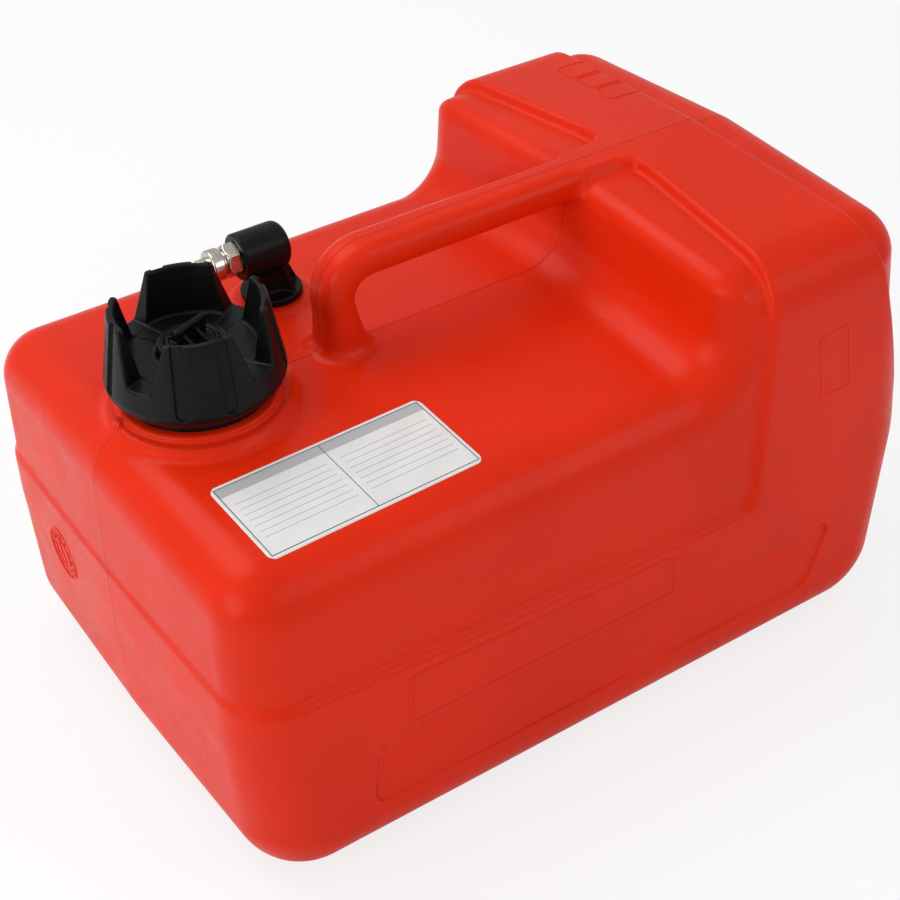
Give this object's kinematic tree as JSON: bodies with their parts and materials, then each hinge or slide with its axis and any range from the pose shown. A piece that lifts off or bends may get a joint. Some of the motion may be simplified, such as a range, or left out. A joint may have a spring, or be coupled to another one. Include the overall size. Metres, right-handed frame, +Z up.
{
  "type": "portable outboard fuel tank",
  "caption": "Portable moulded plastic fuel tank with carrying handle, castle-edged vented screw cap, and a top outlet with a self-sealing hose connector.",
  "frame": {"origin": "centre of the footprint, on the floor, with the handle and the mould parting plane over y = 0", "axes": "+X along the tank from the filler end to the tall block, +Z up"},
  "size_m": [0.3593, 0.24, 0.22],
  "materials": {
    "tank": "satin moulded polyethylene, fine grain",
    "cap": "satin black moulded plastic",
    "gasket": "matt black rubber",
    "baffle": "natural moulded plastic",
    "plated": "bright nickel plate",
    "pin": "turned brass",
    "spring": "drawn stainless wire",
    "tube": "black polyethylene",
    "screen": "woven stainless mesh",
    "label": "satin film"
  },
  "bodies": {
    "tank": {"tank_shell": "tank", "label": "label", "outlet_body": "cap", "outlet_gasket": "gasket", "connector_body": "plated", "connector_oring": "gasket", "spring_seat": "pin", "valve_spring": "spring", "pickup_tube": "tube", "pickup_cage": "tube", "pickup_screen": "screen"},
    "seal": {"cap_gasket": "gasket"},
    "baffle": {"vent_baffle": "baffle", "vent_umbrella": "gasket"},
    "cap": {"cap_shell": "cap", "cap_thread_ring": "cap"},
    "vent": {"vent_knob": "cap", "vent_oring": "gasket", "vent_retainer": "spring"},
    "valve": {"valve_pin": "pin", "valve_seal": "gasket"}
  },
  "joints": [
    {"name": "cap_lift", "type": "slide", "parent": "tank", "child": "seal", "axis": [0, 0, 1], "range_m": [0, 0.06]},
    {"name": "cap_rise", "type": "slide", "parent": "seal", "child": "baffle", "axis": [0, 0, 1], "range_m": [0, 0.0091]},
    {"name": "cap_turn", "type": "hinge", "parent": "baffle", "child": "cap", "pos_m": [-0.127, 0, 0.192], "axis": [0, 0, 1], "range_deg": [0, 540]},
    {"name": "vent_turn", "type": "hinge", "parent": "cap", "child": "vent", "pos_m": [-0.127, 0, 0.1964], "axis": [0, 0, 1], "range_deg": [0, 90]},
    {"name": "valve_press", "type": "slide", "parent": "tank", "child": "valve", "axis": [1, 0, 0], "range_m": [0, 0.0025], "stiffness_N_per_m": 700, "springref_m": -0.004, "deforming": ["valve_spring"]}
  ],
  "couplings": [
    {"joint": "cap_rise", "follows": "cap_turn", "m_per_rad": 0.00095493}
  ]
}
